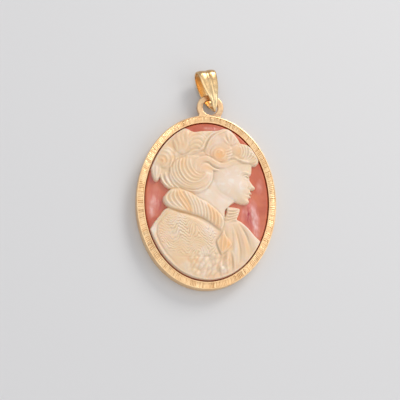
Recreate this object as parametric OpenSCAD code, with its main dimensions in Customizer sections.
// Oval cameo pendant lying on its back: a gold frame with a milled front rim and a soldered eyelet,
// a carved two-layer shell, and a fluted bail that hangs on the eyelet.
// The middle of the oval is at x = 0, y = 0, the back of the frame at z = 0, and the bail at +y.

/* [Frame] */
// Width of the oval frame
frame_w = 24; // [22:0.1:26]
// Height of the oval frame
frame_h = 30.2; // [28:0.1:32]
// Depth of the frame, from its back to the front rim
frame_d = 2.4; // [2:0.05:3]
// Width of the flat front rim
rim_w = 1.3; // [1:0.05:1.6]
// Width of the plain lip along each edge of the milled band
lip_w = 0.2; // [0.1:0.05:0.35]
// Depth of the milled band below the lips
band_drop = 0.08; // [0.04:0.01:0.15]
// Width of the ledge inside the back, on which the shell rests
ledge_w = 0.9; // [0.5:0.1:1.5]
// Thickness of that ledge
ledge_d = 0.7; // [0.4:0.05:1]

/* [Eyelet] */
// Outer diameter of the eyelet
eyelet_d = 4.7; // [4:0.1:5.5]
// Diameter of the hole in the eyelet
hole_d = 2.66; // [2.2:0.02:2.8]
// Thickness of the eyelet
eyelet_t = 0.8; // [0.6:0.05:1]
// Height of the eyelet's middle above the back of the frame
eyelet_z = 1.45; // [1.2:0.05:1.8]
// How far the hole's middle stands past the top of the oval
eyelet_out = 1.95; // [1.6:0.05:2.4]
// Width of the soldered foot between eyelet and frame
foot_w = 3.9; // [3:0.1:4.5]

/* [Shell] */
// Gap between the shell's edge and the frame
shell_gap = 0.15; // [0.1:0.01:0.3]
// Height of the orange layer's face above the back of the frame
ground_z = 2.35; // [1.8:0.05:2.6]
// Width of the slope along the edge of that face
slope_w = 0.35; // [0.1:0.05:0.6]
// Depth of that slope
slope_d = 0.3; // [0.1:0.05:0.5]
// How far the carving stays inside the shell's edge
carving_inset = 0.1; // [0.1:0.05:0.4]

/* [Carving] */
// Scale on the height of everything carved in the cream layer
relief_rise = 1; // [0.6:0.05:1.3]
// Height of one third of the face, which is the hairline to the brow, to the nose and to the chin
face_third = 2.62; // [2.4:0.02:2.8]
// Number of locks in the swirl of hair over the ear
swirl_locks = 7; // [4:1:9]
// Number of scallop rows on the fur of the coat
fur_rows = 3; // [1:1:4]

/* [Bail] */
// Length of the bail from its closed tip to the fold at its top
bail_l = 7; // [6:0.1:8]
// Width of the bail at its fold
bail_w = 3.4; // [3:0.1:3.8]
// Thickness of the bail's strip in its groove and at its edges
strip_t = 0.28; // [0.2:0.02:0.4]
// Height of the two ribs over the groove between them
rib_h = 0.12; // [0:0.01:0.2]
// Sideways lean of the lying bail, in degrees
bail_lean = 18; // [0:1:25]
// Slope of the lying bail, in degrees
bail_slope = 5; // [0:1:10]
// Turn of the lying bail about its own length, in degrees
bail_turn = 13; // [0:1:18]

/* [Hidden] */
$fn = 96;
gold = "#e9bd7a";
orange_shell = "#c8755c";
cream_shell = "#e6cda6";

// Ovals of the shell and of its carving
shell_w = frame_w - 2 * (rim_w + shell_gap);
shell_h = frame_h - 2 * (rim_w + shell_gap);
carving_a = shell_w / 2 - carving_inset;
carving_b = shell_h / 2 - carving_inset;
root = 0.4;
// Steps in x, y and z of the grid on which the carving's points lie
grid = [0.1, 0.1, 0.05];
eyelet_x = -0.1;
bar_round = 0.6;
eyelet_y = frame_h / 2 + eyelet_out;
bail_tip = [0.6, frame_h / 2 + 1.5, 1.84];

// Point on a smooth curve through b and c, with a and d as the points before and after
function curve_point(a, b, c, d, t) =
  b + t * (c - a) / 2 + t * t * (a - 2.5 * b + 2 * c - d / 2)
  + t * t * t * (1.5 * b - a / 2 - 1.5 * c + d / 2);
function closed_curve(p, steps) =
  let (n = len(p))
  [for (i = [0 : n - 1]) for (j = [0 : steps - 1])
    curve_point(p[(i + n - 1) % n], p[i], p[(i + 1) % n], p[(i + 2) % n], j / steps)];
// Curve from a through b to c
function bend_point(a, b, c, t) =
  (1 - t) * (1 - 2 * t) * a + 4 * t * (1 - t) * b + t * (2 * t - 1) * c;
function flat(p) = [p[0], p[1]];
function left_of(v) = [-v[1], v[0]] / max(norm(v), 0.0001);
// Points just outside the carving's oval, which trims them, from one angle to another, counted from +x
function oval_run(from, to, steps) =
  [for (i = [0 : steps]) let (a = from + (to - from) * i / steps)
    1.06 * [carving_a * cos(a), carving_b * sin(a)]];

// Solid between rings of points, set on the carving's grid, with a flat cap on the first and the last
module loft(rings) {
  n = len(rings[0]);
  last = len(rings) - 1;
  sides = [for (j = [0 : last - 1]) for (i = [0 : n - 1])
    let (k = (i + 1) % n, low = j * n, high = low + n)
    each [[low + i, high + i, high + k], [low + i, high + k, low + k]]];
  caps = [[for (i = [0 : n - 1]) i], [for (i = [n - 1 : -1 : 0]) last * n + i]];
  polyhedron([for (r = rings) for (p = r) [for (k = [0 : 2]) grid[k] * round(p[k] / grid[k])]],
    concat(sides, caps), convexity = 6);
}

// Solid that runs round through rings of points and back to the first
module closed_loft(rings) {
  n = len(rings[0]);
  m = len(rings);
  polyhedron([for (r = rings) each r],
    [for (j = [0 : m - 1]) for (i = [0 : n - 1])
      let (k = (i + 1) % n, low = j * n, high = (j + 1) % m * n)
      each [[low + i, high + i, high + k], [low + i, high + k, low + k]]],
    convexity = 8);
}

// Upright oval block with true flat ends
module oval(w, h, z0, z1) intersection() {
  translate([0, 0, z0 - 1]) linear_extrude(z1 - z0 + 2) scale([1, h / w]) circle(d = w);
  translate([-w, -h, z0]) cube([2 * w, 2 * h, z1 - z0]);
}

module eyelet() {
  bar = (eyelet_d - hole_d) / 2;
  translate([eyelet_x, eyelet_y, eyelet_z]) {
    rotate_extrude() translate([hole_d / 2 + bar / 2, 0]) intersection() {
      circle(r = bar_round);
      square([bar, eyelet_t], center = true);
    }
    difference() {
      translate([0, 0, -0.4 * eyelet_t]) linear_extrude(0.8 * eyelet_t) polygon([
        [-foot_w / 2, -eyelet_out - 0.35], [foot_w / 2, -eyelet_out - 0.35],
        [0.47 * foot_w, -0.82 * eyelet_out], [0.49 * foot_w, -0.62 * eyelet_out],
        [-0.49 * foot_w, -0.62 * eyelet_out], [-0.47 * foot_w, -0.82 * eyelet_out]]);
      translate([0, 0, -eyelet_t]) cylinder(d = hole_d + 0.3, h = 2 * eyelet_t);
    }
  }
}

module frame() color(gold) difference() {
  union() {
    oval(frame_w, frame_h, 0, frame_d);
    eyelet();
  }
  oval(frame_w - 2 * rim_w, frame_h - 2 * rim_w, ledge_d, frame_d + 1);
  oval(shell_w - 2 * ledge_w, shell_h - 2 * ledge_w, -1, ledge_d + 1);
  difference() {
    oval(frame_w - 2 * lip_w, frame_h - 2 * lip_w, frame_d - band_drop, frame_d + 1);
    oval(frame_w - 2 * (rim_w - lip_w), frame_h - 2 * (rim_w - lip_w), frame_d - 1, frame_d + 2);
  }
}

module shell_ground() color(orange_shell) {
  oval(shell_w, shell_h, ledge_d, ground_z - slope_d);
  intersection() {
    translate([0, 0, ground_z - slope_d]) scale([shell_w / 2, shell_h / 2, 1])
      cylinder(r1 = 1, r2 = 1 - 4 * slope_w / shell_w, h = 2 * slope_d);
    translate([-shell_w, -shell_h, ground_z - slope_d]) cube([2 * shell_w, 2 * shell_h, slope_d]);
  }
}

// Rounded mound on the orange layer: its edge climbs to one height and its middle swells to another.
// Mounds and locks start below the layer's face, where the carving is cut off flat.
module mound(outline, middle, edge, top, steps = 2) {
  rim = closed_curve(outline, steps);
  levels = [[1, -root], [1, 0.6 * edge], [0.94, 0.92 * edge], [0.7, edge + 0.5 * (top - edge)],
    [0.36, edge + 0.87 * (top - edge)], [0.08, top]];
  loft([for (l = levels) [for (p = rim)
    concat(middle + l[0] * (p - middle), ground_z + relief_rise * l[1])]]);
}

// Raised lock along a path: each station is [x, y], its width swells in the middle and thins at both ends
module lock(path, width, from, to) {
  last = len(path) - 1;
  loft([for (i = [0 : last])
    let (t = i / last,
      side = left_of(path[min(i + 1, last)] - path[max(i - 1, 0)]),
      w = width * (0.22 + 0.78 * sin(180 * (0.06 + 0.88 * t))) / 2,
      z = ground_z + relief_rise * (from + (to - from) * t),
      shoulder = z - min(0.9 * w, 0.3))
    [for (s = [[-1, ground_z - root], [1, ground_z - root], [1, shoulder], [0.35, z], [-0.35, z], [-1, shoulder]])
      concat(path[i] + s[0] * w * side, s[1])]]);
}

function bend(r, steps = 4) =
  [for (i = [0 : steps]) bend_point([r[0], r[1]], [r[2], r[3]], [r[4], r[5]], i / steps)];

// Locks, folds and ribs, each bent through three points and listed with its width and rise at both ends
module locks(rows, steps = 4) for (r = rows) lock(bend(r, steps), r[6], r[7], r[8]);

// One strand of the swirl: it leaves the crown, sweeps behind the ear and curls in to the middle
swirl_mid = [-0.8, 4.5];
function swirl_radius(size, u) = size * cos(90 * pow(u, 1.1)) * (0.74 + 0.26 * min(1, u / 0.17));
function swirl_path(k, steps) =
  let (size = 5.3 - 4.3 * k, turn = 255 - 150 * k)
  [for (i = [0 : steps]) let (u = 0.97 * i / steps)
    swirl_mid + swirl_radius(size, u) * [cos(115 + turn * u), sin(115 + turn * u)]];

// Hair, from the forelock over the crown and down the back to the nape, then in along the hairline
hair_outline = [[7.4, 6.6], [8.2, 6.7], [8.6, 7.7], [8.1, 9.2], [7.0, 10.3], [5.4, 10.7], [4.9, 11.8], [3.4, 13],
  [1.6, 12.8], [0, 12.2], [-1.8, 12.3], [-3.2, 11.9], [-4.6, 12.1], [-6.4, 10.7], [-8, 9], [-9.3, 7.3],
  [-9.9, 5.4], [-9.8, 3.6], [-9.1, 2.5], [-8, 2.4], [-6.9, 1.5], [-4.6, 1.1], [-2, 0.8], [0.1, 2], [0.9, 3.8],
  [1.2, 5.3], [3, 5.6], [5.2, 6.9]];
swirl_outline = [[-2.6, 8.4], [-4.8, 7.6], [-6.1, 6.1], [-6.3, 4.2], [-5.3, 2.2], [-3.5, 1.2], [-1.6, 1],
  [0, 2.1], [0.7, 3.8], [0.4, 5.6], [-0.6, 7.2]];
cap_outline = [[-1.2, 8.6], [-0.2, 11], [0.4, 12], [-1.6, 12.1], [-3.2, 11.7], [-4.7, 11.8], [-5.8, 10.6],
  [-5.4, 9], [-3.4, 8.5]];
bow_outline = [[-0.9, 8.3], [1.6, 7.6], [3.4, 8.4], [4.6, 9.2], [5.1, 10.9], [4.2, 12.3], [2.6, 13], [0.9, 12],
  [-0.3, 10.4]];
fringe_outline = [[3.6, 8], [5.4, 7], [7.2, 6.8], [8, 6.8], [8.5, 7.7], [8, 9], [6.9, 10.1], [5.4, 10.5],
  [4, 9.9]];
rosette_outline = [for (a = [0 : 45 : 315]) [1.8, 8.2] + 1.5 * [cos(a), sin(a)]];

// Hair: x, y at the start, the middle and the end, then the width and the rise at the start and the end
hair_locks = [
  [-6, 10.9, -6.9, 9.3, -6.1, 8, 0.9, 0.7, 0.95],
  [-7.3, 9.6, -7.9, 8.2, -6.9, 7, 0.9, 0.65, 0.95],
  [-8.5, 8.1, -8.7, 6.9, -7.6, 6, 0.9, 0.6, 0.95],
  [-9.2, 6.6, -9.3, 5.5, -8.2, 4.8, 0.9, 0.6, 0.9],
  [-9.6, 5, -9.2, 3.9, -8.3, 3.9, 0.9, 0.6, 0.85],
  [-7, 6.3, -7.2, 4.6, -6.4, 2.6, 0.8, 0.85, 0.75],
  [-7.8, 4.5, -7.8, 3.4, -7.1, 2.2, 0.8, 0.8, 0.65],
  [-5.3, 11.2, -5.4, 9.7, -4.2, 8.6, 0.8, 0.8, 1],
  [-4.3, 11.7, -3.6, 10.2, -1.6, 9.7, 0.8, 0.8, 1],
  [-2.6, 11.9, -1.8, 10.9, -0.5, 10.8, 0.8, 0.8, 1],
  [-4.9, 8.8, -3.1, 8.9, -1.3, 8.8, 0.7, 1, 1],
  [-1.2, 8.2, -0.3, 11.2, 2.4, 12.9, 0.7, 1, 0.8],
  [-0.4, 8.1, 0.5, 10.7, 2.4, 12, 0.6, 1.1, 0.9],
  [-1.7, 5.2, -1.3, 6.7, -0.3, 6.8, 0.8, 1.15, 1.2],
  [-0.5, 6.8, 0.9, 5.8, 3.1, 6, 0.8, 1.2, 0.95],
  [2, 5.9, 4, 6.9, 6.4, 7.3, 0.8, 0.95, 0.9],
  [5.7, 10.4, 6.4, 8.9, 5.7, 7.6, 0.8, 0.9, 0.9],
  [6.5, 10.2, 7.4, 8.7, 6.9, 7.1, 0.8, 0.85, 0.9],
  [7.3, 9.7, 8.2, 8.3, 7.8, 6.8, 0.8, 0.75, 0.85],
  [4.1, 8.3, 4.3, 9.9, 5.4, 10.1, 0.6, 1, 0.9]];
// Ribs of the bow, fanned from its knot over both loops and the rosette: angle and length of each rib
bow_knot = [3.5, 9.4];
bow_ribs = [[132, 2.7], [112, 2.9], [92, 2.9], [70, 2.5], [48, 2], [176, 1.3], [204, 1.5], [232, 1.5]];

// Profile to the right in thirds of the face, forward of the brow and down from the hairline
profile = [[-0.08, 0.05], [0.06, 0.5], [0.04, 0.95], [-0.1, 1.22], [0.1, 1.6], [0.34, 1.87], [0.22, 2.03],
  [0.02, 2.08], [0.1, 2.26], [-0.02, 2.37], [0.05, 2.5], [-0.08, 2.66], [-0.02, 2.85], [-0.18, 3.02],
  [-0.6, 3.05]];
brow = [7.25, 7.75];
face_outline = concat([for (p = [for (i = [len(profile) - 1 : -1 : 0]) profile[i]])
  brow + face_third * [p[0], -p[1]]],
  [[5, 8.3], [2, 7.4], [0.6, 5.4], [0.7, 3.3], [1.6, 1.5], [3.3, 0.5]]);
neck_outline = [[-1.6, 2.4], [-2.4, 0.9], [-1.2, -0.8], [0.9, -1.8], [2.3, -3.2], [3.1, -4.6], [3.3, -3],
  [3.4, -1.4], [4.4, -0.1], [5.2, 0.9], [3.6, 2.6], [1.4, 3.2]];
ruff_outline = [[3.2, -3.2], [5.2, -3], [5.6, -1.9], [5.7, -0.7], [4.5, -0.5], [3.3, -0.8], [3.5, -1.9]];
tail_outline = [[-7.6, 0.1], [-7.1, -1], [-6.3, -1.8], [-4.4, -2.4], [-2.2, -2.9], [-0.3, -3.5], [1.1, -4.2],
  [2.5, -5.1], [3.1, -3.9], [2.8, -2.6], [1.8, -1.6], [0.1, -0.7], [-1.8, 0.2], [-3.9, 0.9], [-5.8, 1.4],
  [-7, 1]];
knot_outline = [[2.8, -5.2], [2, -6.8], [2.9, -8.9], [3.8, -7.8], [4.3, -6.8], [3.5, -5.7]];
coat_outline = concat([[-6.7, -1.9], [-8.1, -3.5], [-9, -4.9]], oval_run(209, 331, 12),
  [[8.3, -5.4], [7, -4.1], [5.3, -3], [3.1, -3.3], [0, -3.3], [-3.6, -2.3]]);
panel_outline = concat([[-6.6, -2.3], [-7.9, -3.8], [-8.7, -5.3]], oval_run(215, 268, 7),
  [[1.2, -11.4], [2.5, -9], [1.9, -7], [2.3, -5.2], [0, -4], [-2.4, -3.1], [-4.8, -2.5]]);

// Folds of the dress, in the columns of the hair's table
dress_folds = [
  [-7, 0.5, -5.7, -0.8, -4.3, -2.3, 0.9, 1, 0.95],
  [-6.2, 1.1, -4.6, -0.5, -2.7, -2.7, 0.9, 1.05, 1],
  [-5, 1.1, -3.2, -0.4, -1.1, -3.1, 0.9, 1.05, 1],
  [-3.6, 0.8, -1.5, -0.8, 0.5, -3.7, 0.9, 1.05, 1.05],
  [-2, 0.2, 0.3, -1.5, 1.6, -4.3, 0.9, 1, 1.05],
  [-0.3, -0.6, 1.6, -2, 2.4, -4.8, 0.9, 0.95, 1.05],
  [3.4, -1, 4.5, -0.8, 5.6, -1, 0.4, 0.68, 0.6],
  [3.4, -1.6, 4.5, -1.4, 5.5, -1.6, 0.4, 0.68, 0.6],
  [3.4, -2.2, 4.4, -2, 5.4, -2.2, 0.4, 0.68, 0.6],
  [3.3, -2.8, 4.3, -2.6, 5.3, -2.8, 0.4, 0.68, 0.6],
  [4, -3.5, 4.9, -7, 4.8, -11.2, 0.8, 0.75, 0.75],
  [4.7, -3.3, 6.3, -6.4, 6.5, -10.2, 0.8, 0.72, 0.75],
  [5.4, -3.4, 7.4, -5.9, 8, -8.6, 0.8, 0.68, 0.7],
  [3.2, -9.3, 2.6, -11, 2.9, -12.7, 0.7, 0.8, 0.7],
  [2.4, -5.2, 1.9, -6.9, 2.5, -8.9, 0.5, 0.98, 0.98],
  [2.8, -5.4, 2.5, -7, 2.9, -8.6, 0.4, 1.05, 1.05],
  [3.2, -5.6, 3.6, -6.9, 3, -8.6, 0.4, 1.05, 1.05],
  [0.4, -7.3, -0.5, -8.6, 0.6, -9.6, 0.7, 1, 0.95],
  [-0.9, -8.4, -1.7, -9.7, -0.4, -10.8, 0.7, 1, 0.9],
  [1.2, -9.7, 0.4, -10.8, 1.4, -11.8, 0.7, 0.95, 0.85],
  [-0.6, -11.2, -1.2, -12, -0.2, -12.9, 0.7, 0.85, 0.75]];

// Eye, nostril and lips, placed by the thirds of the face
module features() {
  eye = brow + face_third * [-0.34, -1.27];
  mound([for (a = [0 : 60 : 300]) eye + [0.5 * cos(a), 0.24 * sin(a)]], eye, 0.7, 0.86);
  locks([
    [eye[0] - 0.75, eye[1] + 0.1, eye[0], eye[1] + 0.38, eye[0] + 0.6, eye[1] + 0.14, 0.24, 0.84, 0.84],
    [eye[0] - 0.9, eye[1] + 0.6, eye[0] - 0.1, eye[1] + 0.95, eye[0] + 0.85, eye[1] + 0.75, 0.5, 0.86, 0.8]]);
  wing = brow + face_third * [-0.02, -1.93];
  mound([for (a = [0 : 60 : 300]) wing + [0.34 * cos(a), 0.3 * sin(a)]], wing, 0.66, 0.84);
  lips = brow + face_third * [-0.02, -2.37];
  locks([
    [lips[0] - 0.85, lips[1] + 0.06, lips[0] - 0.3, lips[1] + 0.26, lips[0] + 0.12, lips[1] + 0.2, 0.3, 0.74, 0.7],
    [lips[0] - 0.8, lips[1] - 0.1, lips[0] - 0.3, lips[1] - 0.3, lips[0] + 0.06, lips[1] - 0.28, 0.3, 0.74, 0.7]]);
}

// Rows of scallops on the fur of the coat, each row shifted by half a scallop
module fur() for (row = [0 : fur_rows - 1]) for (i = [0 : 3]) {
  x = -6.9 + 1.75 * i + 0.8 * (row % 2) + 0.5 * row;
  y = -4.4 - 1.75 * row - 0.12 * i;
  locks([[x - 0.7, y + 0.25, x, y - 0.3, x + 0.75, y + 0.2, 0.5, 0.86, 0.92]]);
}

module shell_relief() color(cream_shell) resize([0, 0, 0]) intersection() {
  union() {
    mound(coat_outline, [-0.2, -7.6], 0.5, 0.72, 1);
    mound(panel_outline, [-3, -6.8], 0.62, 0.86, 1);
    fur();
    mound(neck_outline, [2.6, 0], 0.42, 0.62);
    mound(ruff_outline, [4.4, -1.8], 0.48, 0.58);
    mound(tail_outline, [-2, -1.3], 0.7, 0.95);
    mound(knot_outline, [3.1, -6.9], 0.78, 1);
    mound(face_outline, [4.4, 3.4], 0.5, 0.84);
    features();
    mound(hair_outline, [-1, 7.2], 0.5, 0.86, 1);
    mound(cap_outline, [-2.8, 10.4], 0.75, 0.92);
    mound(swirl_outline, [-2.6, 4.7], 0.9, 1.12);
    mound(bow_outline, [2, 10.3], 0.78, 0.95);
    mound(fringe_outline, [6, 8.5], 0.62, 0.82);
    mound(rosette_outline, [1.8, 8.2], 1, 1.25);
    locks(hair_locks);
    locks(dress_folds);
    for (k = [0 : swirl_locks - 1])
      lock(swirl_path(k / swirl_locks, 10), 0.85 - 0.35 * k / swirl_locks, 1.02, 1.26);
    for (r = bow_ribs)
      lock([for (i = [0 : 4]) bow_knot + (0.2 + 0.2 * i) * r[1] * [cos(r[0]), sin(r[0])]], 0.6, 1.15, 0.9);
  }
  translate([0, 0, ground_z]) linear_extrude(3) scale([carving_a, carving_b]) circle(1, $fn = 64);
}

// The bail's loop from the tip over the front leaf: place along the bail, half gap and width, as shares
// of the bail's length, of 1 mm and of its width, then the same over the back leaf
front_leaf = [[0, 0.17, 0.13], [0.09, 0.5, 0.27], [0.17, 0.75, 0.36], [0.29, 0.94, 0.48], [0.46, 0.98, 0.7],
  [0.66, 0.97, 0.88], [0.81, 0.94, 0.96], [0.92, 0.8, 1], [0.98, 0.45, 1]];
back_leaf = [[0.98, 0.48, 1], [0.92, 0.92, 1], [0.81, 1.26, 0.96], [0.66, 1.46, 0.88], [0.46, 1.58, 0.7],
  [0.29, 1.58, 0.48], [0.17, 1.22, 0.36], [0.09, 0.72, 0.27], [0, 0.17, 0.13]];
bail_rows = concat(
  [for (r = front_leaf) [r[0] * bail_l, r[1], r[2] * bail_w]], [[bail_l, -0.04, bail_w]],
  [for (r = back_leaf) [r[0] * bail_l, -r[1], r[2] * bail_w]], [[-0.16, 0, 0.09 * bail_w]]);

module bail_strip() {
  path = closed_curve(bail_rows, 2);
  n = len(path);
  across = 12;
  closed_loft([for (i = [0 : n - 1])
    let (p = path[i],
      out = left_of(flat(path[(i + 1) % n] - path[(i + n - 1) % n])))
    concat(
      [for (j = [0 : across]) let (u = j / across - 0.5,
          q = flat(p) + (strip_t / 2 + rib_h * min(1, p[2] / 2) * abs(sin(360 * u))) * out)
        [p[2] * u, q[0], q[1]]],
      [for (j = [across : -1 : 0]) let (q = flat(p) - strip_t / 2 * out)
        [p[2] * (j / across - 0.5), q[0], q[1]]])]);
}

module bail() color(gold)
  translate(bail_tip) rotate([0, 0, bail_lean]) rotate([bail_slope, 0, 0]) rotate([0, bail_turn, 0])
    bail_strip();

frame();
shell_ground();
shell_relief();
bail();
